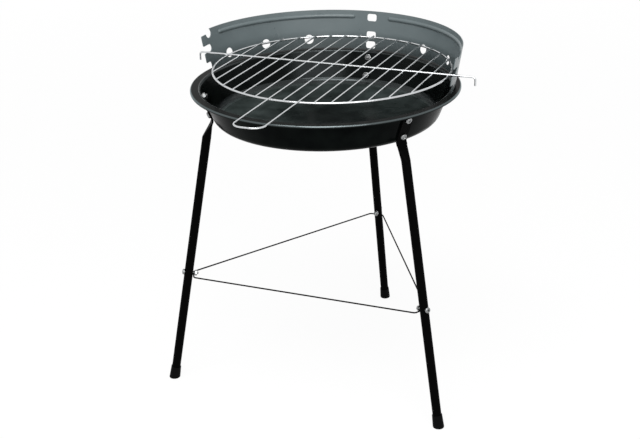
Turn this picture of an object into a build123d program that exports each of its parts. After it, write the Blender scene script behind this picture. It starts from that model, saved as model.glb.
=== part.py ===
from build123d import *
from math import asin, atan, cos, degrees, radians, sin, sqrt, tan
import os

# Round charcoal grill on three legs: millimetres, +Z up, handle at -Y, rear leg at +Y.
# The model is drawn about the bowl's axis with the ground at z = 0, and shifted at the end.

# Fire bowl
rim_d = 360.0
rim_z = 426.0
flange_w = 13.0
lip_h = 3.2
lip_r = 2.0
neck_r = 4.0
bowl_depth = 44.3
floor_d = 297.4
floor_r = 12.0
bowl_sheet = 1.0

# Legs and feet, with heights measured down from the rim
rear_angle = 90.0
leg_spacing_angle = 120.0
leg_splay = 10.8
tube_d = 12.0
tube_wall = 1.0
strip_w = 16.0
strip_t = 2.2
strip_end_r = 7.0
strip_top_drop = 4.0
strip_bend_drop = 40.0
strip_bend_r = 5.0
neck_run = 6.0
neck_out = 9.5
neck_drop = 24.0
edge_round = 0.499
bolt_drop_high = 9.0
bolt_drop_low = 33.0
cap_d = 15.4
cap_top_d = 13.8
cap_h = 18.0
cap_sole = 4.0
cap_edge_r = 1.2

# Brace between the legs
brace_z = 165.0
brace_wire_d = 2.0
brace_bend_r = 5.0
brace_run = 20.0

# Windshield
shield_h = 54.5
shield_inset = 8.0
shield_flare = 9.7
shield_sheet = 1.0
shield_arc = 200.0
cut_reach = 40.0
edge_rise = 1.5
tab_w = 10.5
tab_fold = 5.0
tab_bend_r = 0.5
hole_angles = (30.0, 51.5, 73.0)
hole_d = 13.0
hole_rise = 14.0
slot_w = 14.0
slot_h = 10.0
slot_r = 3.0
slot_drops = (8.9, 33.2, 47.0)
bead_drop = 8.6
bead_r = 3.2
bead_start = 9.0
bead_end = 77.0

# Windshield ends, measured down from its top edge and to the rear of the bowl's middle
tooth_reach = 4.5
high_notch_drop = 5.8
pocket_r = 6.6
pocket_depth = 5.9
pocket_back = 14.8
top_corner_back = 16.5
top_corner_clear = 3.0
mid_notch_drop = 29.6
mid_notch_h = 10.0
mid_notch_back = 16.0
low_step_drop = 42.0
low_step_back = 8.0
low_step_r = 4.0
tooth_corner_r = 1.5

# Cooking grate
grate_d = 315.0
grate_shift = 10.0
ring_wire_d = 2.7
bar_wire_d = 2.0
cross_wire_d = 2.6
bar_pitch = 19.6
bar_edge_gap = 14.0
bar_overhang = 1.4
handle_reach = 268.0
handle_corner_r = 14.0
hook_span = 391.0
hook_drop = 11.0
hook_r = 4.0
weld_sink = 0.4

# Fasteners
bolt_d = 5.0
bolt_head_d = 9.0
bolt_head_h = 3.2
nut_flats = 8.0
nut_h = 4.0
brace_bolt_d = 4.0
brace_head_d = 8.0
brace_head_h = 2.8
brace_nut_flats = 7.0
brace_nut_h = 3.2
bolt_past_nut = 2.0
head_edge_r = 1.4

# Clearances
hole_clearance = 0.5
thread_clearance = 0.1
seat_gap = 0.15
tab_room = 0.5
rest_gap = 0.3
cap_fit = 0.1

# Values that follow from the sizes above
rim_r = rim_d / 2
floor_z = rim_z - bowl_depth
floor_corner_r = floor_d / 2
neck_in_r = rim_r - flange_w
wall_lean = atan((neck_in_r - floor_corner_r) / bowl_depth)
splay = radians(leg_splay)
leg_angles = {
    "rear": rear_angle,
    "left": rear_angle + leg_spacing_angle,
    "right": rear_angle - leg_spacing_angle,
}
leg_bolt_high_z = rim_z - bolt_drop_high
leg_bolt_low_z = rim_z - bolt_drop_low
flare = radians(shield_flare)
shield_top_z = rim_z + shield_h
low_r = rim_r - shield_inset
front_tab_turn = degrees(asin((low_step_back + tab_w / 2 - tab_room) / low_r))
tab_angles = (front_tab_turn, rear_angle, 180 - front_tab_turn)
hole_z = rim_z + hole_rise
mid_notch_floor = shield_top_z - mid_notch_drop
ring_r = grate_d / 2
wire_rest_z = mid_notch_floor + rest_gap + cross_wire_d / 2
bar_z = wire_rest_z - (bar_wire_d + cross_wire_d) / 2 + weld_sink
ring_z = bar_z - (ring_wire_d + bar_wire_d) / 2 + weld_sink


def bent_line(points, radii):
    """Line through the points of a section, with its inner corners rounded."""
    line = Polyline(*points)
    for point, radius in zip(points[1:-1], radii):
        corner = line.vertices().sort_by_distance((*point, 0))[0]
        line = line.fillet_2d(radius, [corner])
    return line


def bent_sheet(points, radii, thickness, side):
    """Section of a bent sheet on the XZ plane, one face of it on the given line."""
    line = bent_line(points, radii)
    return Plane.XZ * make_face(offset(line, amount=thickness, side=side))


def wall_point(z, out):
    """Point (r, z) at a depth out from the bowl wall's inner face, level z on that face."""
    r = floor_corner_r + (z - floor_z) * tan(wall_lean)
    return (r + out * cos(wall_lean), z - out * sin(wall_lean))


def wall_plane(z, out):
    """Plane square to the bowl's wall over +X, with its normal pointing out of the bowl."""
    r, level = wall_point(z, out)
    return Plane(origin=(r, 0, level), x_dir=(0, 1, 0), z_dir=(cos(wall_lean), 0, -sin(wall_lean)))


# Leg: a tube whose upper end is pressed to a flat strip and bent to lie along the bowl's wall.
strip_mid = bowl_sheet + seat_gap + strip_t / 2
strip_top = Vector(*wall_point(rim_z - strip_top_drop, strip_mid))
strip_bend = Vector(*wall_point(rim_z - strip_bend_drop, strip_mid))
tube_end = strip_bend + Vector(neck_out, -neck_drop)
foot_r = tube_end.X + tube_end.Y * tan(splay)


def leg_plane(along):
    """Plane square to the leg over +X, at a distance up its axis from the ground."""
    origin = (foot_r - along * sin(splay), 0, along * cos(splay))
    return Plane(origin=origin, x_dir=(0, 1, 0), z_dir=(-sin(splay), 0, cos(splay)))


def brace_plane(out):
    """Plane square to the brace bolt of the leg over +X, its normal pointing outward."""
    r = foot_r - brace_z * tan(splay) + out * cos(splay)
    origin = (r, 0, brace_z + out * sin(splay))
    return Plane(origin=origin, x_dir=(0, 1, 0), z_dir=(cos(splay), 0, sin(splay)))


def wire(path, diameter):
    """Round wire along a path."""
    section = Plane(origin=path @ 0, z_dir=path % 0) * Circle(diameter / 2)
    return sweep(section, path)


def pan_bolt(seat, shank_d, head_d, head_h, length):
    """Bolt with a rounded head standing on the seat plane, and its shank behind the seat."""
    head = extrude(Circle(head_d / 2), head_h)
    rim = head.edges().sort_by(Axis.Z)[-1]
    head = fillet(rim, head_edge_r)
    return seat * (head + extrude(Circle(shank_d / 2), -length))


def hex_nut(seat, shank_d, flats, height):
    """Hexagon nut lying behind the seat plane."""
    outline = RegularPolygon(flats / 2, 6, major_radius=False)
    return seat * extrude(outline - Circle((shank_d + thread_clearance) / 2), -height)


def around(shape, angle):
    """Shape made over +X, turned round the bowl's axis."""
    return Rot(0, 0, angle) * shape


def wall_drill(z):
    """Cutter for a bolt hole square to the bowl's wall over +X."""
    outline = wall_plane(z, 0) * Circle((bolt_d + hole_clearance) / 2)
    return extrude(outline, nut_h + bolt_head_h, both=True)


# Fire bowl: pressed sheet with a flat floor, a leaning wall, a flange and a turned-down lip.
bowl_line = [
    (0, floor_z),
    (floor_corner_r, floor_z),
    (neck_in_r, rim_z),
    (rim_r, rim_z),
    (rim_r, rim_z - lip_h),
]
bowl_section = bent_sheet(bowl_line, [floor_r, neck_r, lip_r], bowl_sheet, Side.RIGHT)
fire_bowl = revolve(bowl_section, Axis.Z)
for angle in leg_angles.values():
    fire_bowl -= around(wall_drill(leg_bolt_low_z) + wall_drill(leg_bolt_high_z), angle)
tab_slot = Box(shield_sheet + 2 * tab_room, tab_w + 2 * tab_room, 3 * bowl_sheet)
for angle in tab_angles:
    fire_bowl -= around(Pos(low_r - shield_sheet / 2, 0, rim_z) * tab_slot, angle)

# The leg's strip, the swelling neck below it and the tube.
strip_neck = strip_bend + (tube_end - strip_bend).normalized() * neck_run
strip_points = [(p.X, p.Y) for p in (strip_top, strip_bend, strip_neck)]
strip_path = Plane.XZ * bent_line(strip_points, [strip_bend_r])
strip_section = Plane(origin=strip_path @ 0, x_dir=(0, 1, 0), z_dir=strip_path % 0)
neck_section = Plane(origin=strip_path @ 1, x_dir=(0, 1, 0), z_dir=strip_path % 1)
strip = sweep(strip_section * Rectangle(strip_w, strip_t), strip_path)
end_face = strip.faces().sort_by_distance(strip_path @ 0)[0]
end_corners = end_face.edges().sort_by(SortBy.LENGTH)[:2]
strip = fillet(end_corners, strip_end_r)
tube_top = tube_end.Y / cos(splay)
tube_down = leg_plane(tube_top)
tube_down = Plane(origin=tube_down.origin, x_dir=(0, 1, 0), z_dir=-tube_down.z_dir)
swell = loft([
    neck_section * RectangleRounded(strip_w, strip_t, strip_t * edge_round),
    tube_down * RectangleRounded(tube_d, tube_d, tube_d * edge_round),
])
bore = Circle(tube_d / 2 - tube_wall)
tube = extrude(leg_plane(cap_sole) * (Circle(tube_d / 2) - bore), tube_top - cap_sole)
brace_hole = extrude(brace_plane(0) * Circle((brace_bolt_d + hole_clearance) / 2), tube_d, both=True)
leg = tube + swell + strip - brace_hole - wall_drill(leg_bolt_low_z) - wall_drill(leg_bolt_high_z)

# Foot: a tapered plastic cap over the tube's end, its sole cut level with the ground.
cap_taper = (cap_d - cap_top_d) / 2 / cap_h
cap_below = cap_d * tan(splay)
cap_outline = [
    (0, -cap_below),
    (cap_d / 2 + cap_below * cap_taper, -cap_below),
    (cap_top_d / 2, cap_h),
    (tube_d / 2 + cap_fit, cap_h),
    (tube_d / 2 + cap_fit, cap_sole),
    (0, cap_sole),
]
cap = leg_plane(0) * revolve(Plane.XZ * make_face(Polyline(*cap_outline, close=True)), Axis.Z)
cap = split(cap, Plane.XY, keep=Keep.TOP)
sole = cap.faces().sort_by(Axis.Z)[0]
foot = fillet(sole.edges(), cap_edge_r)

# Brace: one closed wire triangle with a short straight run under the bolt at each leg.
run_in = tube_d / 2 + seat_gap + brace_wire_d / 2
run_down = brace_bolt_d / 2 + seat_gap + brace_wire_d / 2
run_origin = (brace_plane(-run_in) * Pos(0, 0, 0)).position
run_r = run_origin.X + run_down * sin(splay)
run_z = run_origin.Z - run_down * cos(splay)
brace_points = []
for angle in sorted(leg_angles.values()):
    for side in (-1, 1):
        corner = around(Pos(run_r, side * brace_run / 2, run_z), angle).position
        brace_points.append(corner)
brace_wire = wire(FilletPolyline(*brace_points, radius=brace_bend_r, close=True), brace_wire_d)

def shield_r(z):
    """Radius of the windshield's outer face at a height."""
    return low_r + (z - rim_z) * tan(flare)


# Windshield: flared half ring of sheet, folded outward at its foot.
fold_z = rim_z - bowl_sheet - seat_gap
fold_r = shield_r(fold_z)
top_r = shield_r(shield_top_z)
shield_line = [(fold_r + tab_fold, fold_z), (fold_r, fold_z), (top_r, shield_top_z)]
shield_section = bent_sheet(shield_line, [tab_bend_r], shield_sheet, Side.LEFT)
windshield = around(revolve(shield_section, Axis.Z, shield_arc), rear_angle - shield_arc / 2)

# Its foot is cut away but for three tabs, which go through slots in the flange and fold under it.
tab_half_arc = degrees(tab_w / low_r) / 2
half_arc = shield_arc / 2 + tab_half_arc
gap_starts = [rear_angle - half_arc] + [angle + tab_half_arc for angle in tab_angles]
gap_ends = [angle - tab_half_arc for angle in tab_angles] + [rear_angle + half_arc]
gap_section = Plane.XZ * Pos(low_r, rim_z + edge_rise - cut_reach / 2) * Rectangle(2 * cut_reach, cut_reach)
for start, end in zip(gap_starts, gap_ends):
    windshield -= around(revolve(gap_section, Axis.Z, end - start), start)

# Beads pressed inward below the windshield's top edge, one length each side of the slots.
bead_z = shield_top_z - bead_drop


def bead(radius, depth):
    """Round-ended bar along the windshield's outer face, kept where it is deeper than the depth."""
    start = rear_angle + bead_start
    keep = Pos(-depth - radius, 0) * Rectangle(2 * radius, 2 * radius)
    section = Pos(shield_r(bead_z), bead_z) * Rot(0, 0, -shield_flare) * (Circle(radius) & keep)
    length = around(revolve(Plane.XZ * section, Axis.Z, bead_end - bead_start), start)
    middle = (shield_r(bead_z), 0, bead_z)
    inward = Plane(origin=middle, x_dir=(0, 1, 0), z_dir=(-cos(flare), 0, sin(flare)))
    cube = Pos(0, 0, depth + radius) * Box(2 * radius, 2 * radius, 2 * radius)
    for angle in (start, rear_angle + bead_end):
        length += around(inward * (Sphere(radius) & cube), angle)
    return length


ridge = bead(bead_r, shield_sheet / 2)
groove = bead(bead_r - shield_sheet, -bead_r)
windshield = windshield + ridge + mirror(ridge, Plane.YZ)
windshield = windshield - groove - mirror(groove, Plane.YZ)

# Round holes along the windshield, and three slots over the rear leg.
behind_sheet = Plane.YZ.offset(low_r - cut_reach)
cut_depth = 2 * cut_reach + top_r - low_r
hole_cut = extrude(behind_sheet * Pos(0, hole_z) * Circle(hole_d / 2), cut_depth)
for angle in hole_angles:
    windshield -= around(hole_cut, rear_angle - angle)
    windshield -= around(hole_cut, rear_angle + angle)
slot_outline = RectangleRounded(slot_w, slot_h, slot_r)
for drop in slot_drops:
    slot_cut = extrude(behind_sheet * Pos(0, shield_top_z - drop) * slot_outline, cut_depth)
    windshield -= around(slot_cut, rear_angle)

# Windshield ends: a hooked notch at the top, a round-ended notch below it and an open step.
front = -rim_r
high_floor = shield_top_z - high_notch_drop
pocket_z = high_floor - pocket_depth + pocket_r
above_top = shield_top_z + top_corner_clear
high_notch = make_face(Polyline(
    (front, high_floor),
    (pocket_back, high_floor),
    (pocket_back + pocket_r, pocket_z),
    (top_corner_back, above_top),
    (front, above_top),
    close=True,
)) + Pos(pocket_back, pocket_z) * Circle(pocket_r)
mid_end = mid_notch_back - mid_notch_h / 2
mid_z = mid_notch_floor + mid_notch_h / 2
mid_notch = Pos((front + mid_end) / 2, mid_z) * Rectangle(mid_end - front, mid_notch_h)
mid_notch += Pos(mid_end, mid_z) * Circle(mid_notch_h / 2)
step_top = shield_top_z - low_step_drop
step_h = step_top - floor_z
step_w = low_step_back - front
step = Pos((front + low_step_back) / 2, step_top - step_h / 2) * Rectangle(step_w, step_h)
step = fillet(step.vertices().group_by(Axis.Y)[-1].sort_by(Axis.X)[-1], low_step_r)
trim_h = above_top - floor_z
trim_w = -front - tooth_reach
trim = Pos((front - tooth_reach) / 2, above_top - trim_h / 2) * Rectangle(trim_w, trim_h)
end_cut = extrude(behind_sheet * (high_notch + mid_notch + step + trim), cut_depth)
windshield -= end_cut
windshield -= mirror(end_cut, Plane.YZ)
tooth_corners = windshield.edges().filter_by(Axis.X).group_by(Axis.Y)[0]
windshield = fillet(tooth_corners, tooth_corner_r)

# Grate: a ring, parallel bars welded on top of it and a hooked cross wire over the bars.
grate_at = Pos(grate_shift, 0, 0)
grate_ring = grate_at * Pos(0, 0, ring_z) * Torus(ring_r, ring_wire_d / 2)
bars_each_side = int((ring_r - bar_edge_gap) / bar_pitch)


def bar_half(x):
    """Half length of a bar that crosses the ring at x."""
    return sqrt(ring_r ** 2 - x ** 2) + bar_overhang


def straight_bar(x):
    """Straight bar from one side of the ring to the other."""
    section = Plane.XZ * Pos(x, bar_z) * Circle(bar_wire_d / 2)
    return grate_at * extrude(section, bar_half(x), both=True)


grate_bars = {"grate_tongue_bar": straight_bar(0)}
for count in range(2, bars_each_side + 1):
    grate_bars[f"grate_bar_left_{count}"] = straight_bar(-count * bar_pitch)
    grate_bars[f"grate_bar_right_{count}"] = straight_bar(count * bar_pitch)
handle_points = [
    (-bar_pitch, bar_half(bar_pitch), bar_z),
    (-bar_pitch, -handle_reach, bar_z),
    (bar_pitch, -handle_reach, bar_z),
    (bar_pitch, bar_half(bar_pitch), bar_z),
]
grate_handle = grate_at * wire(FilletPolyline(*handle_points, radius=handle_corner_r), bar_wire_d)
cross_points = [
    (hook_span / 2, 0, wire_rest_z - hook_drop),
    (hook_span / 2, 0, wire_rest_z),
    (-hook_span / 2, 0, wire_rest_z),
    (-hook_span / 2, 0, wire_rest_z - hook_drop),
]
grate_cross_wire = grate_at * wire(FilletPolyline(*cross_points, radius=hook_r), cross_wire_d)

# Bolts and nuts of the legs: heads outside on the strips, nuts in the bowl.
leg_bolts = []
leg_nuts = []
bolt_seat = strip_mid + strip_t / 2
bolt_length = bolt_seat + seat_gap + nut_h + bolt_past_nut
for angle in leg_angles.values():
    for z in (leg_bolt_low_z, leg_bolt_high_z):
        bolt = pan_bolt(wall_plane(z, bolt_seat), bolt_d, bolt_head_d, bolt_head_h, bolt_length)
        nut = hex_nut(wall_plane(z, -seat_gap), bolt_d, nut_flats, nut_h)
        leg_bolts.append(around(bolt, angle))
        leg_nuts.append(around(nut, angle))

# Bolts and nuts of the brace, one through each leg with the wire held under the nut.
brace_bolts = []
brace_nuts = []
brace_seat = tube_d / 2 + seat_gap
brace_inside = brace_seat + brace_wire_d + seat_gap
brace_length = brace_seat + brace_inside + brace_nut_h + bolt_past_nut
for angle in leg_angles.values():
    bolt = pan_bolt(brace_plane(brace_seat), brace_bolt_d, brace_head_d, brace_head_h, brace_length)
    nut = hex_nut(brace_plane(-brace_inside), brace_bolt_d, brace_nut_flats, brace_nut_h)
    brace_bolts.append(around(bolt, angle))
    brace_nuts.append(around(nut, angle))

nodes = {
    "fire_bowl": fire_bowl,
    "windshield": windshield,
    "brace_wire": brace_wire,
    "leg_bolts": Compound(children=leg_bolts),
    "leg_nuts": Compound(children=leg_nuts),
    "brace_bolts": Compound(children=brace_bolts),
    "brace_nuts": Compound(children=brace_nuts),
    "grate_ring": grate_ring,
    "grate_handle": grate_handle,
    "grate_cross_wire": grate_cross_wire,
    **grate_bars,
}
for name, angle in leg_angles.items():
    nodes[f"leg_{name}"] = around(leg, angle)
    nodes[f"foot_{name}"] = around(foot, angle)

# The origin lies on the ground, midway between the handle's tip and the rear foot.
front_y = grate_handle.bounding_box().min.Y
back_y = nodes["foot_rear"].bounding_box().max.Y
to_origin = Pos(0, -(front_y + back_y) / 2, 0)
os.makedirs("parts", exist_ok=True)
for name, shape in nodes.items():
    export_step(to_origin * shape, f"parts/{name}.step")
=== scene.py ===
import math
import random

import bmesh
import bpy
from mathutils import Matrix, Vector


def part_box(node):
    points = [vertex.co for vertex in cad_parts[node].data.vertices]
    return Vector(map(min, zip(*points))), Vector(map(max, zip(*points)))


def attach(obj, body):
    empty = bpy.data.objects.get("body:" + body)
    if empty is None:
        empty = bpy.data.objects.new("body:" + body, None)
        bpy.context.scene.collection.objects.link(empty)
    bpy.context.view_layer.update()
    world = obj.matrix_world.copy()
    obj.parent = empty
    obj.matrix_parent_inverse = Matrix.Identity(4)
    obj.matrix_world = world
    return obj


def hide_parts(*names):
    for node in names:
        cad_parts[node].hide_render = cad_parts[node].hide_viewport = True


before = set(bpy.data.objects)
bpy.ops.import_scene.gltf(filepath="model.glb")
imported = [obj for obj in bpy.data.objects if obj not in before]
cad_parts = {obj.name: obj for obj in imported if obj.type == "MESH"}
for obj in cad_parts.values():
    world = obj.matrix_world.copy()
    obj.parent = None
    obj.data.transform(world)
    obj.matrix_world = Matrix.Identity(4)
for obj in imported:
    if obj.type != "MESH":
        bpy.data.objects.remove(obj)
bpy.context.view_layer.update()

# Fire bowl: one sheet of steel pressed to a flat floor and a leaning wall, with a flange and a
# turned-down lip. It is dipped in black enamel and fired, so the glaze covers it inside and out.


def linear(code):
    """Colour written as sRGB hex, as the linear values that a shader takes."""
    parts = [int(code[i:i + 2], 16) / 255 for i in (1, 3, 5)]
    return (*[c / 12.92 if c <= 0.04045 else ((c + 0.055) / 1.055) ** 2.4 for c in parts], 1.0)


def add(tree, kind, inputs, **settings):
    """Adds a node with its settings; an input is a value or another node's output."""
    made = tree.nodes.new(kind)
    for name, value in settings.items():
        setattr(made, name, value)
    for name, value in inputs.items():
        if isinstance(value, bpy.types.NodeSocket):
            tree.links.new(value, made.inputs[name])
        else:
            made.inputs[name].default_value = value
    return made


bowl_low, bowl_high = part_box("fire_bowl")
bowl_middle = (bowl_low + bowl_high) / 2
rim_radius = (bowl_high.x - bowl_low.x) / 2
bare_width, bare_width_full = 0.0016, 0.0008
bare_depth, bare_depth_full = 0.0024, 0.0012
floor_rise, floor_rise_full = 0.004, 0.002
# Painted reflection on the floor: it grows outwards from the middle and lies on one side.
reflection_grows_from, reflection_full_at = 0.02, 0.10
reflection_side = (-0.8, 0.6, 0.0)
reflection_fades_at, reflection_side_full_past = -0.10, 0.03
enamel_peel_mm = 6
enamel_cloud_mm = 28
pinhole_mm = 11

# Black enamel, fired: a cool deep gloss with a slow orange peel of about 6 mm, a few pinholes and
# soft cloudy patches. One side of the floor is painted greyer as a painted reflection, and the light
# line along the lip is drawn as bare steel. The enamel mirrors less than a real glaze does, so that
# it stays black in a white surround.
enamel = bpy.data.materials.new("black_enamel_fired_on_steel")
enamel.use_nodes = True
tree = enamel.node_tree
coordinates = add(tree, "ShaderNodeTexCoord", {})
place = coordinates.outputs["Object"]
peel = add(tree, "ShaderNodeTexNoise", {"Vector": place, "Scale": 1000 / enamel_peel_mm, "Detail": 2.0})
clouds = add(tree, "ShaderNodeTexNoise", {"Vector": place, "Scale": 1000 / enamel_cloud_mm, "Detail": 4.0})
haze = add(tree, "ShaderNodeMapRange", {"Value": clouds.outputs["Fac"], "From Min": 0.35, "From Max": 0.65})
pinhole = add(tree, "ShaderNodeTexVoronoi", {"Vector": place, "Scale": 1000 / pinhole_mm, "Randomness": 1.0})
pit = add(tree, "ShaderNodeMapRange", {"Value": pinhole.outputs["Distance"], "From Min": 0.0,
                                       "From Max": 0.05})
from_axis = add(tree, "ShaderNodeVectorMath", {0: place, 1: (0.0, bowl_middle.y, 0.0)}, operation="SUBTRACT")
flat = add(tree, "ShaderNodeVectorMath", {0: from_axis.outputs["Vector"], 1: (1.0, 1.0, 0.0)},
           operation="MULTIPLY")
reach = add(tree, "ShaderNodeVectorMath", {0: flat.outputs["Vector"]}, operation="LENGTH")
edge = add(tree, "ShaderNodeMapRange", {"Value": reach.outputs["Value"], "From Min": rim_radius - bare_width,
                                        "From Max": rim_radius - bare_width_full})
height = add(tree, "ShaderNodeSeparateXYZ", {"Vector": place})
upper = add(tree, "ShaderNodeMapRange", {"Value": height.outputs["Z"], "From Min": bowl_high.z - bare_depth,
                                         "From Max": bowl_high.z - bare_depth_full})
lip = add(tree, "ShaderNodeMath", {0: edge.outputs["Result"], 1: upper.outputs["Result"]},
          operation="MULTIPLY")
facing = add(tree, "ShaderNodeSeparateXYZ", {"Vector": coordinates.outputs["Normal"]})
level = add(tree, "ShaderNodeMapRange", {"Value": facing.outputs["Z"], "From Min": 0.80, "From Max": 0.98})
lower = add(tree, "ShaderNodeMapRange", {"Value": height.outputs["Z"], "From Min": bowl_low.z + floor_rise,
                                         "From Max": bowl_low.z + floor_rise_full})
floor_share = add(tree, "ShaderNodeMath", {0: level.outputs["Result"], 1: lower.outputs["Result"]},
                  operation="MULTIPLY")
# Painted reflection: a greyer patch on one side of the floor, strongest towards the wall.
reflection_outward = add(tree, "ShaderNodeMapRange", {"Value": reach.outputs["Value"], "From Min": reflection_grows_from,
                                            "From Max": reflection_full_at, "To Min": 0.15, "To Max": 1.0})
toward_reflection_side = add(tree, "ShaderNodeVectorMath", {0: flat.outputs["Vector"], 1: reflection_side},
                 operation="DOT_PRODUCT")
reflection_sideways = add(tree, "ShaderNodeMapRange", {"Value": toward_reflection_side.outputs["Value"], "From Min": reflection_fades_at,
                                           "From Max": reflection_side_full_past, "To Min": 0.12, "To Max": 1.0})
reflection_spread = add(tree, "ShaderNodeMath", {0: reflection_outward.outputs["Result"], 1: reflection_sideways.outputs["Result"]},
                operation="MULTIPLY")
painted_floor_reflection = add(tree, "ShaderNodeMath", {0: floor_share.outputs["Value"], 1: reflection_spread.outputs["Value"]},
           operation="MULTIPLY")
glaze = add(tree, "ShaderNodeMix", {"Factor": haze.outputs["Result"], "A": linear("#020303"),
                                    "B": linear("#070A09")}, data_type="RGBA")
# The painted reflection's grey, laid over the glaze on that side of the floor.
reflected_grey = add(tree, "ShaderNodeMix", {"Factor": haze.outputs["Result"], "A": linear("#232928"),
                                    "B": linear("#3A4140")}, data_type="RGBA")
floor_with_reflection = add(tree, "ShaderNodeMix", {"Factor": painted_floor_reflection.outputs["Value"], "A": glaze.outputs["Result"],
                                     "B": reflected_grey.outputs["Result"]}, data_type="RGBA")
tone = add(tree, "ShaderNodeMix", {"Factor": lip.outputs["Value"], "A": floor_with_reflection.outputs["Result"],
                                   "B": linear("#565D5E")}, data_type="RGBA")
glazed = add(tree, "ShaderNodeMapRange", {"Value": haze.outputs["Result"], "To Min": 0.14, "To Max": 0.24})
gloss = add(tree, "ShaderNodeMath", {0: painted_floor_reflection.outputs["Value"], 1: 0.16, 2: glazed.outputs["Result"]},
            operation="MULTIPLY_ADD")
dimple = add(tree, "ShaderNodeBump", {"Height": pit.outputs["Result"], "Strength": 0.25, "Distance": 0.0002})
relief = add(tree, "ShaderNodeBump", {"Height": peel.outputs["Fac"], "Strength": 0.06, "Distance": 0.0004,
                                      "Normal": dimple.outputs["Normal"]})
shader = tree.nodes["Principled BSDF"]
shader.inputs["IOR"].default_value = 1.5
shader.inputs["Specular IOR Level"].default_value = 0.09
shader.inputs["Specular Tint"].default_value = linear("#E6F2F4")
tree.links.new(tone.outputs["Result"], shader.inputs["Base Color"])
tree.links.new(lip.outputs["Value"], shader.inputs["Metallic"])
tree.links.new(gloss.outputs["Value"], shader.inputs["Roughness"])
tree.links.new(relief.outputs["Normal"], shader.inputs["Normal"])

# The same enamel with other mirror levels: lowest on the floor, the flange and the outside, where
# the bowl looks blackest, and a real glaze's on the bends above and below the wall, where a bright
# arc shows. A face's upward share tells them apart; the wall's is under wall_share.
level_share, wall_share, under_share = 0.98, 0.42, -0.5
coats = [("black_enamel_level", 0.01), ("black_enamel_bends", 0.5), ("black_enamel_outside", 0.018)]
bowl_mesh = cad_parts["fire_bowl"].data.copy()
bowl_mesh.materials.clear()
bowl_mesh.materials.append(enamel)
for name, mirror in coats:
    coat = enamel.copy()
    coat.name = name
    coat.node_tree.nodes["Principled BSDF"].inputs["Specular IOR Level"].default_value = mirror
    bowl_mesh.materials.append(coat)
for face in bowl_mesh.polygons:
    outward = (face.center - bowl_middle).to_2d().dot(face.normal.to_2d())
    if face.normal.z > level_share:
        face.material_index = 1
    elif face.normal.z > wall_share and outward < 0:
        face.material_index = 2
    elif face.normal.z < 0 and outward > 0 or face.normal.z < under_share:
        face.material_index = 3
bowl = bpy.data.objects.new("fire_bowl_enamelled", bowl_mesh)
bpy.context.scene.collection.objects.link(bowl)
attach(bowl, "stand")
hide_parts("fire_bowl")

# Legs: steel tube with its upper end pressed flat, bent to the bowl's wall and bolted to it.
# They are painted black after bending, so the paint is even over strip, neck and tube.
sides = ("rear", "left", "right")
leg_peel_mm = 2.5
leg_patch_mm = 30

# Black satin paint, sprayed: a fine orange peel of 2.5 mm, and patches that dried a little duller.
# It mirrors far less than a real paint does, so that it stays black in a white surround.
leg_paint = bpy.data.materials.new("black_satin_paint_on_steel_tube")
leg_paint.use_nodes = True
tree = leg_paint.node_tree
place = add(tree, "ShaderNodeTexCoord", {}).outputs["Object"]
peel = add(tree, "ShaderNodeTexNoise", {"Vector": place, "Scale": 1000 / leg_peel_mm, "Detail": 2.0})
patch = add(tree, "ShaderNodeTexNoise", {"Vector": place, "Scale": 1000 / leg_patch_mm, "Detail": 2.0})
tone = add(tree, "ShaderNodeMix", {"Factor": patch.outputs["Fac"], "A": linear("#030303"),
                                   "B": linear("#060606")}, data_type="RGBA")
gloss = add(tree, "ShaderNodeMapRange", {"Value": patch.outputs["Fac"], "From Min": 0.3, "From Max": 0.7,
                                         "To Min": 0.36, "To Max": 0.48})
relief = add(tree, "ShaderNodeBump", {"Height": peel.outputs["Fac"], "Strength": 0.10, "Distance": 0.0003})
shader = tree.nodes["Principled BSDF"]
shader.inputs["IOR"].default_value = 1.5
shader.inputs["Specular IOR Level"].default_value = 0.01
tree.links.new(tone.outputs["Result"], shader.inputs["Base Color"])
tree.links.new(gloss.outputs["Result"], shader.inputs["Roughness"])
tree.links.new(relief.outputs["Normal"], shader.inputs["Normal"])
for side in sides:
    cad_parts[f"leg_{side}"].data.materials[0] = leg_paint

# Feet: tapered caps moulded in black polyethylene and pushed over the tubes' ends.
# They stand on soles that are moulded level with the ground.
foot_grain_mm = 0.9
foot_scuff_mm = 7

# Polyethylene, moulded: the mould's spark-eroded grain dulls it, and standing leaves grey scuffs.
# The grain is drawn at 0.9 mm, coarser than the real one, so that it shows, and the plastic mirrors
# nearly as little as the legs' paint.
foot_plastic = bpy.data.materials.new("black_polyethylene_moulded")
foot_plastic.use_nodes = True
tree = foot_plastic.node_tree
place = add(tree, "ShaderNodeTexCoord", {}).outputs["Object"]
grain = add(tree, "ShaderNodeTexNoise", {"Vector": place, "Scale": 1000 / foot_grain_mm, "Detail": 3.0})
scuff = add(tree, "ShaderNodeTexNoise", {"Vector": place, "Scale": 1000 / foot_scuff_mm, "Detail": 4.0})
tone = add(tree, "ShaderNodeMix", {"Factor": scuff.outputs["Fac"], "A": linear("#040404"),
                                   "B": linear("#0B0B0C")}, data_type="RGBA")
relief = add(tree, "ShaderNodeBump", {"Height": grain.outputs["Fac"], "Strength": 0.25, "Distance": 0.0002})
shader = tree.nodes["Principled BSDF"]
shader.inputs["IOR"].default_value = 1.5
shader.inputs["Specular IOR Level"].default_value = 0.03
shader.inputs["Roughness"].default_value = 0.5
tree.links.new(tone.outputs["Result"], shader.inputs["Base Color"])
tree.links.new(relief.outputs["Normal"], shader.inputs["Normal"])
for side in sides:
    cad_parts[f"foot_{side}"].data.materials[0] = foot_plastic

# Leg bolts and nuts: M5 pan-head screws with a cross recess, put through strip and wall from the
# outside, and hexagon nuts inside the bowl. Steel, cold-formed, with rolled threads and zinc plate.
zinc_mottle_mm = 2

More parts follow.
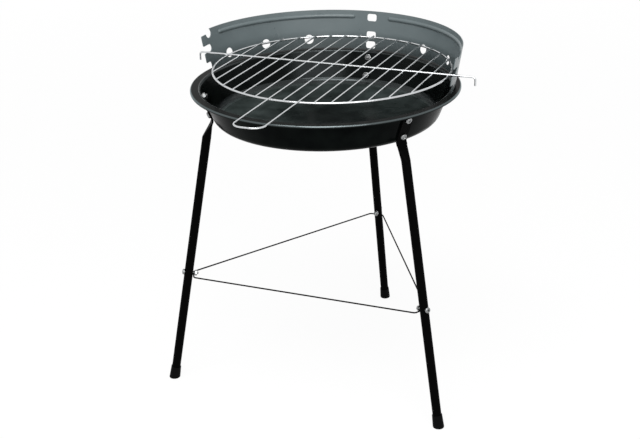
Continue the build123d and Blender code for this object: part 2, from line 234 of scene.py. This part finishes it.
# Bright zinc plate that has dulled a little: blue-grey, with a faint straw tint and a 2 mm mottle.
zinc = bpy.data.materials.new("bright_zinc_on_cold_formed_steel")
zinc.use_nodes = True
tree = zinc.node_tree
place = add(tree, "ShaderNodeTexCoord", {}).outputs["Object"]
mottle = add(tree, "ShaderNodeTexNoise", {"Vector": place, "Scale": 1000 / zinc_mottle_mm, "Detail": 3.0})
tone = add(tree, "ShaderNodeMix", {"Factor": mottle.outputs["Fac"], "A": linear("#7A7F84"),
                                   "B": linear("#979692")}, data_type="RGBA")
gloss = add(tree, "ShaderNodeMapRange", {"Value": mottle.outputs["Fac"], "From Min": 0.3, "From Max": 0.7,
                                         "To Min": 0.24, "To Max": 0.38})
shader = tree.nodes["Principled BSDF"]
shader.inputs["Metallic"].default_value = 1.0
tree.links.new(tone.outputs["Result"], shader.inputs["Base Color"])
tree.links.new(gloss.outputs["Result"], shader.inputs["Roughness"])


def group_middle(points):
    """Middle of the box round some points."""
    return Vector([(min(p[i] for p in points) + max(p[i] for p in points)) / 2 for i in range(3)])


def solids_of(name):
    """The separate solids in a group of fasteners, each as a list of points."""
    build = bmesh.new()
    build.from_mesh(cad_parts[name].data)
    bmesh.ops.remove_doubles(build, verts=build.verts, dist=1e-6)
    left = set(build.verts)
    groups = []
    while left:
        queue = [left.pop()]
        group = []
        while queue:
            vert = queue.pop()
            group.append(vert.co.copy())
            for edge in vert.link_edges:
                other = edge.other_vert(vert)
                if other in left:
                    left.remove(other)
                    queue.append(other)
        groups.append(group)
    build.free()
    return sorted(groups, key=lambda group: tuple(round(c, 4) for c in group_middle(group)))


def axis_frame(points, rise):
    """Frame of a fastener, z along its axis away from the bowl's axis and at its outer end, and its size."""
    middle = group_middle(points)
    turn = math.atan2(middle.y - bowl_middle.y, middle.x - bowl_middle.x)
    out = Vector((math.cos(rise) * math.cos(turn), math.cos(rise) * math.sin(turn), math.sin(rise)))
    side = Vector((-math.sin(turn), math.cos(turn), 0.0))
    axes = (side, out.cross(side), out)
    low = [min(p.dot(axis) for p in points) for axis in axes]
    high = [max(p.dot(axis) for p in points) for axis in axes]
    spot = axes[0] * (low[0] + high[0]) / 2 + axes[1] * (low[1] + high[1]) / 2 + out * high[2]
    turned = Matrix((axes[0], axes[1], axes[2])).transposed().to_4x4()
    return Matrix.Translation(spot) @ turned, [h - l for l, h in zip(low, high)]


def lathe(rows, segments):
    """Open mesh from rows of radii round z; a row is (z, function of angle giving the radius)."""
    build = bmesh.new()
    rings = []
    for z, radius in rows:
        ring = []
        for step in range(segments):
            angle = 2 * math.pi * step / segments
            reach = radius(angle)
            ring.append(build.verts.new((reach * math.cos(angle), reach * math.sin(angle), z)))
        rings.append(ring)
    for upper, lower in zip(rings, rings[1:]):
        for step in range(segments):
            after = (step + 1) % segments
            build.faces.new((upper[step], lower[step], lower[after], upper[after]))
    return build, rings


def screw_mesh(head_d, head_h, shank_d, pitch, length):
    """Pan-head screw with a cross recess; its head's top is at z = 0 and it points down."""
    segments = 32
    rows_per_turn = 6
    thread_depth = 0.55 * pitch
    thread_start = -0.45 * length
    thread_end = 0.5 * pitch
    tip_share, tip_thread = 0.7, 0.6
    domed_head = [(0.0, 0.14), (-0.03, 0.30), (-0.12, 0.40), (-0.30, 0.465), (-0.55, 0.497), (-0.9, 0.5),
                  (-1.0, 0.485)]
    recess_mouth, recess_foot = 0.3 * head_h, -0.62 * head_h
    wing_length = {"mouth": 0.56 * head_d, "foot": 0.26 * head_d}
    wing_width = {"mouth": 0.125 * head_d, "foot": 0.09 * head_d}
    rows = [(share * head_h, lambda angle, r=r: r * head_d) for share, r in domed_head]
    rows.append((-head_h, lambda angle: shank_d / 2))

    def thread(z):
        fade = min(1.0, (thread_start - z) / pitch, (z + length) / thread_end + tip_thread)
        point = min(1.0, tip_share + (1 - tip_share) * (z + length) / pitch)

        def radius(angle):
            phase = (z / pitch - angle / (2 * math.pi)) % 1.0
            return point * (shank_d / 2 - fade * thread_depth * (1 - abs(2 * phase - 1)))
        return radius

    rows.append((thread_start, lambda angle: shank_d / 2))
    count = int((thread_start + length) / pitch * rows_per_turn)
    for step in range(1, count + 1):
        z = thread_start - (thread_start + length) * step / count
        rows.append((z, thread(z)))
    build, rings = lathe(rows, segments)
    build.faces.new(rings[0])
    build.faces.new(list(reversed(rings[-1])))
    bmesh.ops.recalc_face_normals(build, faces=build.faces)
    plain = bpy.data.meshes.new("screw_blank")
    build.to_mesh(plain)
    build.free()
    blank = bpy.data.objects.new("screw_blank", plain)
    bpy.context.scene.collection.objects.link(blank)
    cutters = []
    for quarter in (0.0, math.pi / 2):
        build = bmesh.new()
        bmesh.ops.create_cube(build, size=1.0)
        for vert in build.verts:
            end = "foot" if vert.co.z < 0 else "mouth"
            vert.co.x *= wing_length[end]
            vert.co.y *= wing_width[end]
            vert.co.z = recess_foot if end == "foot" else recess_mouth
        bmesh.ops.rotate(build, verts=build.verts, matrix=Matrix.Rotation(quarter, 3, "Z"))
        wing = bpy.data.meshes.new("recess_wing")
        build.to_mesh(wing)
        build.free()
        cutter = bpy.data.objects.new("recess_wing", wing)
        bpy.context.scene.collection.objects.link(cutter)
        cutters.append(cutter)
        cut = blank.modifiers.new("recess", "BOOLEAN")
        cut.operation = "DIFFERENCE"
        cut.solver = "EXACT"
        cut.object = cutter
    seen = blank.evaluated_get(bpy.context.evaluated_depsgraph_get())
    mesh = bpy.data.meshes.new_from_object(seen)
    for temporary in (blank, *cutters):
        bpy.data.objects.remove(temporary)
    return mesh


def nut_mesh(flats, corner_first, bore_d, height):
    """Hexagon nut with chamfered corners and a countersunk bore; its seat is at z = 0 and it points down."""
    segments = 72
    sink = 0.08 * flats
    crown = 0.96 * flats / 2
    chamfer = math.tan(math.radians(30))

    def hexagon(angle):
        turned = (angle + (0.0 if corner_first else math.pi / 6)) % (math.pi / 3) - math.pi / 6
        return flats / 2 / math.cos(turned)

    build = bmesh.new()
    rings = []
    for step in range(segments):
        angle = 2 * math.pi * step / segments
        corner = hexagon(angle)
        drop = (corner - crown) * chamfer
        profile = [(bore_d / 2, -sink), (bore_d / 2 + sink, 0.0), (crown, 0.0), (corner, -drop),
                   (corner, drop - height), (crown, -height), (bore_d / 2 + sink, -height),
                   (bore_d / 2, sink - height)]
        rings.append([build.verts.new((r * math.cos(angle), r * math.sin(angle), z)) for r, z in profile])
    for step in range(segments):
        here, after = rings[step], rings[(step + 1) % segments]
        for point in range(len(here)):
            follow = (point + 1) % len(here)
            build.faces.new((here[point], here[follow], after[follow], after[point]))
    bmesh.ops.recalc_face_normals(build, faces=build.faces)
    mesh = bpy.data.meshes.new("nut")
    build.to_mesh(mesh)
    build.free()
    return mesh


def fasteners(name, meshes):
    """One piece from fasteners already in place, standing for a CAD group and riding with the stand."""
    crease = math.radians(32)
    build = bmesh.new()
    for mesh in meshes:
        build.from_mesh(mesh)
        bpy.data.meshes.remove(mesh)
    joined = bpy.data.meshes.new(f"{name}_plated")
    build.to_mesh(joined)
    build.free()
    joined.shade_smooth()
    joined.set_sharp_from_angle(angle=crease)
    joined.materials.append(zinc)
    piece = bpy.data.objects.new(f"{name}_plated", joined)
    bpy.context.scene.collection.objects.link(piece)
    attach(piece, "stand")
    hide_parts(name)


def screws(name, rise, head_d, head_h, shank_d, pitch):
    """Replaces a group of CAD bolts by detailed screws, their recesses turned as a driver left them."""
    made = []
    for points in solids_of(name):
        at, size = axis_frame(points, rise)
        mesh = screw_mesh(head_d, head_h, shank_d, pitch, size[2])
        mesh.transform(at @ Matrix.Rotation(turns.uniform(0, math.pi), 4, "Z"))
        made.append(mesh)
    fasteners(name, made)


def nuts(name, rise, flats, bore_d):
    """Replaces a group of CAD nuts by chamfered ones with the same corners."""
    made = []
    for points in solids_of(name):
        at, size = axis_frame(points, rise)
        mesh = nut_mesh(flats, size[0] > size[1], bore_d, size[2])
        mesh.transform(at)
        made.append(mesh)
    fasteners(name, made)


turns = random.Random(5)
wall_run = 0.0183
wall_height = 0.0443
wall_fall = -math.atan2(wall_run, wall_height)
screw_head_d, screw_head_h, screw_d, screw_pitch = 0.009, 0.0032, 0.005, 0.0008
nut_flats = 0.008
thread_room = 0.0001
screws("leg_bolts", wall_fall, screw_head_d, screw_head_h, screw_d, screw_pitch)
nuts("leg_nuts", wall_fall, nut_flats, screw_d + thread_room)

# Brace: one length of steel wire bent to a closed triangle, held against the inside of each leg
# by a bolt. The wire is dipped in black paint.
brace_run_mm = 9

# Black paint, dipped: it runs along the wire before it dries, in faint waves about 9 mm long. It
# mirrors nearly as little as the legs' paint.
brace_paint = bpy.data.materials.new("black_dip_paint_on_wire")
brace_paint.use_nodes = True
tree = brace_paint.node_tree
place = add(tree, "ShaderNodeTexCoord", {}).outputs["Object"]
runs = add(tree, "ShaderNodeTexNoise", {"Vector": place, "Scale": 1000 / brace_run_mm, "Detail": 3.0})
tone = add(tree, "ShaderNodeMix", {"Factor": runs.outputs["Fac"], "A": linear("#030303"),
                                   "B": linear("#070707")}, data_type="RGBA")
relief = add(tree, "ShaderNodeBump", {"Height": runs.outputs["Fac"], "Strength": 0.2, "Distance": 0.0003})
shader = tree.nodes["Principled BSDF"]
shader.inputs["IOR"].default_value = 1.5
shader.inputs["Specular IOR Level"].default_value = 0.02
shader.inputs["Roughness"].default_value = 0.4
tree.links.new(tone.outputs["Result"], shader.inputs["Base Color"])
tree.links.new(relief.outputs["Normal"], shader.inputs["Normal"])
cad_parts["brace_wire"].data.materials[0] = brace_paint

# Brace bolts and nuts: M4 screws square through the tubes, their nuts clamping the wire inside.
# They are plated like the leg bolts.
leg_splay = math.radians(10.8)
brace_head_d, brace_head_h, brace_screw_d, brace_pitch = 0.008, 0.0028, 0.004, 0.0007
brace_nut_flats = 0.007
screws("brace_bolts", leg_splay, brace_head_d, brace_head_h, brace_screw_d, brace_pitch)
nuts("brace_nuts", leg_splay, brace_nut_flats, brace_screw_d + thread_room)

# Windshield: a half ring of sheet steel with notches, slots, air holes and a pressed bead on each
# side, held by three tabs put through slots in the bowl's flange and folded under it. It is
# stove-enamelled grey.
shield_peel_mm = 1.6
shield_cloud_mm = 40
# Painted shade at the windshield's foot: the heights above the rim where it starts and where it is full.
painted_shade_starts_at, painted_shade_full_at = 0.026, 0.004

# Grey stoving paint: satin, with a 1.6 mm orange peel and wide clouds where it baked unevenly. It
# is darkened towards the foot with painted shade.
shield_paint = bpy.data.materials.new("grey_satin_stoving_paint")
shield_paint.use_nodes = True
tree = shield_paint.node_tree
place = add(tree, "ShaderNodeTexCoord", {}).outputs["Object"]
peel = add(tree, "ShaderNodeTexNoise", {"Vector": place, "Scale": 1000 / shield_peel_mm, "Detail": 2.0})
cloud = add(tree, "ShaderNodeTexNoise", {"Vector": place, "Scale": 1000 / shield_cloud_mm, "Detail": 3.0})
coat = add(tree, "ShaderNodeMix", {"Factor": cloud.outputs["Fac"], "A": linear("#566062"),
                                   "B": linear("#626C6E")}, data_type="RGBA")
height = add(tree, "ShaderNodeSeparateXYZ", {"Vector": place})
# Painted shade: the grey darkens towards the foot, down to the dark grey below.
foot = add(tree, "ShaderNodeMapRange", {"Value": height.outputs["Z"], "From Min": bowl_high.z + painted_shade_starts_at,
                                        "From Max": bowl_high.z + painted_shade_full_at, "To Max": 0.85})
tone = add(tree, "ShaderNodeMix", {"Factor": foot.outputs["Result"], "A": coat.outputs["Result"],
                                   "B": linear("#353D3E")}, data_type="RGBA")
gloss = add(tree, "ShaderNodeMapRange", {"Value": cloud.outputs["Fac"], "From Min": 0.3, "From Max": 0.7,
                                         "To Min": 0.26, "To Max": 0.36})
relief = add(tree, "ShaderNodeBump", {"Height": peel.outputs["Fac"], "Strength": 0.12, "Distance": 0.0002})
shader = tree.nodes["Principled BSDF"]
shader.inputs["IOR"].default_value = 1.45
tree.links.new(tone.outputs["Result"], shader.inputs["Base Color"])
tree.links.new(gloss.outputs["Result"], shader.inputs["Roughness"])
tree.links.new(relief.outputs["Normal"], shader.inputs["Normal"])
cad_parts["windshield"].data.materials[0] = shield_paint

# Grate: a ring, parallel bars with the looped handle in one piece with two of them, and a hooked
# cross wire, all of drawn steel wire, spot-welded where they cross and then chromed.
chrome_draw_mm = 3

# Chrome, bright on drawn wire: mirror-like, with a fine unevenness of 3 mm that breaks reflections.
chrome = bpy.data.materials.new("bright_chrome_on_drawn_wire")
chrome.use_nodes = True
tree = chrome.node_tree
place = add(tree, "ShaderNodeTexCoord", {}).outputs["Object"]
draw = add(tree, "ShaderNodeTexNoise", {"Vector": place, "Scale": 1000 / chrome_draw_mm, "Detail": 3.0})
gloss = add(tree, "ShaderNodeMapRange", {"Value": draw.outputs["Fac"], "From Min": 0.3, "From Max": 0.7,
                                         "To Min": 0.16, "To Max": 0.28})
tone = add(tree, "ShaderNodeMix", {"Factor": draw.outputs["Fac"], "A": linear("#C0C3C5"),
                                   "B": linear("#D6D8D9")}, data_type="RGBA")
relief = add(tree, "ShaderNodeBump", {"Height": draw.outputs["Fac"], "Strength": 0.1, "Distance": 0.0002})
shader = tree.nodes["Principled BSDF"]
shader.inputs["Metallic"].default_value = 1.0
tree.links.new(tone.outputs["Result"], shader.inputs["Base Color"])
tree.links.new(gloss.outputs["Result"], shader.inputs["Roughness"])
tree.links.new(relief.outputs["Normal"], shader.inputs["Normal"])
for name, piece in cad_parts.items():
    if name.startswith("grate_"):
        piece.data.materials[0] = chrome

# Spot welds of the grate: a squeezed lump of metal where two wires were pressed together,
# under each bar at the ring and over each bar at the cross wire, chromed with the wires.
ring_low, ring_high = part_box("grate_ring")
ring_middle = (ring_low + ring_high) / 2
ring_radius = (ring_high.x - ring_low.x - (ring_high.z - ring_low.z)) / 2
handle_low, handle_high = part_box("grate_handle")
handle_wire = (handle_high.z - handle_low.z) / 2
bar_lines = [handle_low.x + handle_wire, handle_high.x - handle_wire]
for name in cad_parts:
    if name.startswith("grate_bar_") or name == "grate_tongue_bar":
        bar_low, bar_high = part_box(name)
        bar_lines.append((bar_low.x + bar_high.x) / 2)
weld_sink = 0.0004
lump_radius, lump_rise = 0.0014, 0.0007
lump_least, lump_most = 0.85, 1.15
dent_least, dent_most = 0.94, 1.06
weld_spots = []
for x in sorted(bar_lines):
    half = math.sqrt(ring_radius ** 2 - (x - ring_middle.x) ** 2)
    for y in (ring_middle.y - half, ring_middle.y + half):
        weld_spots.append(Vector((x, y, handle_low.z + weld_sink / 2)))
    weld_spots.append(Vector((x, ring_middle.y, handle_high.z - weld_sink / 2)))
lumps = random.Random(11)
build = bmesh.new()
for spot in weld_spots:
    across = lump_radius * lumps.uniform(lump_least, lump_most)
    along = lump_radius * lumps.uniform(lump_least, lump_most)
    size = Matrix.Diagonal((across, along, lump_rise, 1.0))
    tilt = Matrix.Rotation(lumps.uniform(0, math.pi), 4, "Z")
    made = bmesh.ops.create_icosphere(build, subdivisions=2, radius=1.0)["verts"]
    for vert in made:
        vert.co *= lumps.uniform(dent_least, dent_most)
    bmesh.ops.transform(build, matrix=Matrix.Translation(spot) @ tilt @ size, verts=made)
weld_mesh = bpy.data.meshes.new("grate_spot_welds")
build.to_mesh(weld_mesh)
build.free()
weld_mesh.shade_smooth()
weld_mesh.materials.append(chrome)
welds = bpy.data.objects.new("grate_spot_welds", weld_mesh)
bpy.context.scene.collection.objects.link(welds)
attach(welds, "grate")

# Studio floor: a white sweep, shown as white to the camera and in reflections. Round the grill a
# share of it is lit as plain matt paper, so the soft shadow stays on it.
sweep_radius = 9.0
sweep_drop = 0.0004
near_the_grill, far_from_it = 0.6, 2.5
white_share_near, white_share_far = 0.92, 1.0
floor_mesh = bpy.data.meshes.new("studio_floor")
build = bmesh.new()
bmesh.ops.create_circle(build, cap_ends=True, segments=96, radius=sweep_radius)
build.to_mesh(floor_mesh)
build.free()
floor = bpy.data.objects.new("studio_floor", floor_mesh)
floor.location.z = -sweep_drop
bpy.context.scene.collection.objects.link(floor)


def seen_or_mirrored(tree):
    """Output that is 1 for rays from the camera, in reflections and through clear things."""
    rays = add(tree, "ShaderNodeLightPath", {}).outputs
    direct = add(tree, "ShaderNodeMath", {0: rays["Is Camera Ray"], 1: rays["Is Glossy Ray"]},
                 operation="MAXIMUM")
    seen = add(tree, "ShaderNodeMath", {0: direct.outputs[0], 1: rays["Is Transmission Ray"]},
               operation="MAXIMUM")
    return seen.outputs[0]


floor_paper = bpy.data.materials.new("white_studio_paper")
floor_paper.use_nodes = True
tree = floor_paper.node_tree
place = add(tree, "ShaderNodeTexCoord", {}).outputs["Object"]
away = add(tree, "ShaderNodeVectorMath", {0: place}, operation="LENGTH")
white = add(tree, "ShaderNodeMapRange", {"Value": away.outputs["Value"], "From Min": near_the_grill,
                                         "From Max": far_from_it, "To Min": white_share_near,
                                         "To Max": white_share_far})
share = add(tree, "ShaderNodeMath", {0: seen_or_mirrored(tree), 1: white.outputs["Result"]},
            operation="MULTIPLY")
glow = add(tree, "ShaderNodeEmission", {"Color": (1.0, 1.0, 1.0, 1.0), "Strength": 1.0})
shader = tree.nodes["Principled BSDF"]
shader.inputs["Base Color"].default_value = linear("#F4F4F4")
shader.inputs["Roughness"].default_value = 0.9
shader.inputs["Specular IOR Level"].default_value = 0.0
paper = add(tree, "ShaderNodeMixShader", {0: share.outputs[0], 1: shader.outputs["BSDF"],
                                          2: glow.outputs["Emission"]})
tree.links.new(paper.outputs["Shader"], tree.nodes["Material Output"].inputs["Surface"])
floor_mesh.materials.append(floor_paper)

# White surround: full white where it is seen or mirrored, and dimmer as a light on matt surfaces,
# so that the soft boxes still shape them.
light_on_matt, light_when_seen = 0.6, 1.0
world = bpy.data.worlds.new("white_surround")
bpy.context.scene.world = world
world.use_nodes = True
tree = world.node_tree
strength = add(tree, "ShaderNodeMapRange", {"Value": seen_or_mirrored(tree), "To Min": light_on_matt,
                                            "To Max": light_when_seen})
tree.nodes["Background"].inputs["Color"].default_value = (1.0, 1.0, 1.0, 1.0)
tree.links.new(strength.outputs["Result"], tree.nodes["Background"].inputs["Strength"])

# Soft boxes: a wide key behind and above the camera, to its right, and a smaller one high in front
# of the grill, both turned to the bowl.
for name, spot, width, depth, power in (
    ("key_soft_box", Vector((1.21, -2.09, 1.83)), 2.4, 1.2, 47.0),
    ("top_soft_box", Vector((0.05, -0.9, 2.4)), 1.4, 0.8, 28.0),
):
    lamp = bpy.data.lights.new(name, "AREA")
    lamp.shape = "RECTANGLE"
    lamp.size = width
    lamp.size_y = depth
    lamp.energy = power
    box = bpy.data.objects.new(name, lamp)
    box.location = spot
    box.rotation_euler = (bowl_middle - spot).to_track_quat("-Z", "Y").to_euler()
    bpy.context.scene.collection.objects.link(box)

# Camera: 0.9 m above the ground and a little to the right of the handle's side, with a 70 mm lens
# whose shift sets the grill in the frame.
image_w = 640
focal_px = 1252.1
heading = math.radians(21.354)
pitch = math.radians(25.248)
roll = math.radians(-0.871)
eye = Vector((0.6184, -1.4913 + bowl_middle.y, 0.9100))
lens = bpy.data.cameras.new("camera")
lens.sensor_width = 36.0
lens.lens = focal_px * lens.sensor_width / image_w
lens.clip_end = 60.0
lens.shift_x = -0.0522
lens.shift_y = 0.0802
camera = bpy.data.objects.new("camera", lens)
level_turn = Matrix.Rotation(heading, 4, "Z")
nod = Matrix.Rotation(math.pi / 2 - pitch, 4, "X")
tip = Matrix.Rotation(roll, 4, "Z")
camera.matrix_world = Matrix.Translation(eye) @ level_turn @ nod @ tip
bpy.context.scene.collection.objects.link(camera)
bpy.context.scene.camera = camera
bpy.context.scene.view_settings.view_transform = "Standard"
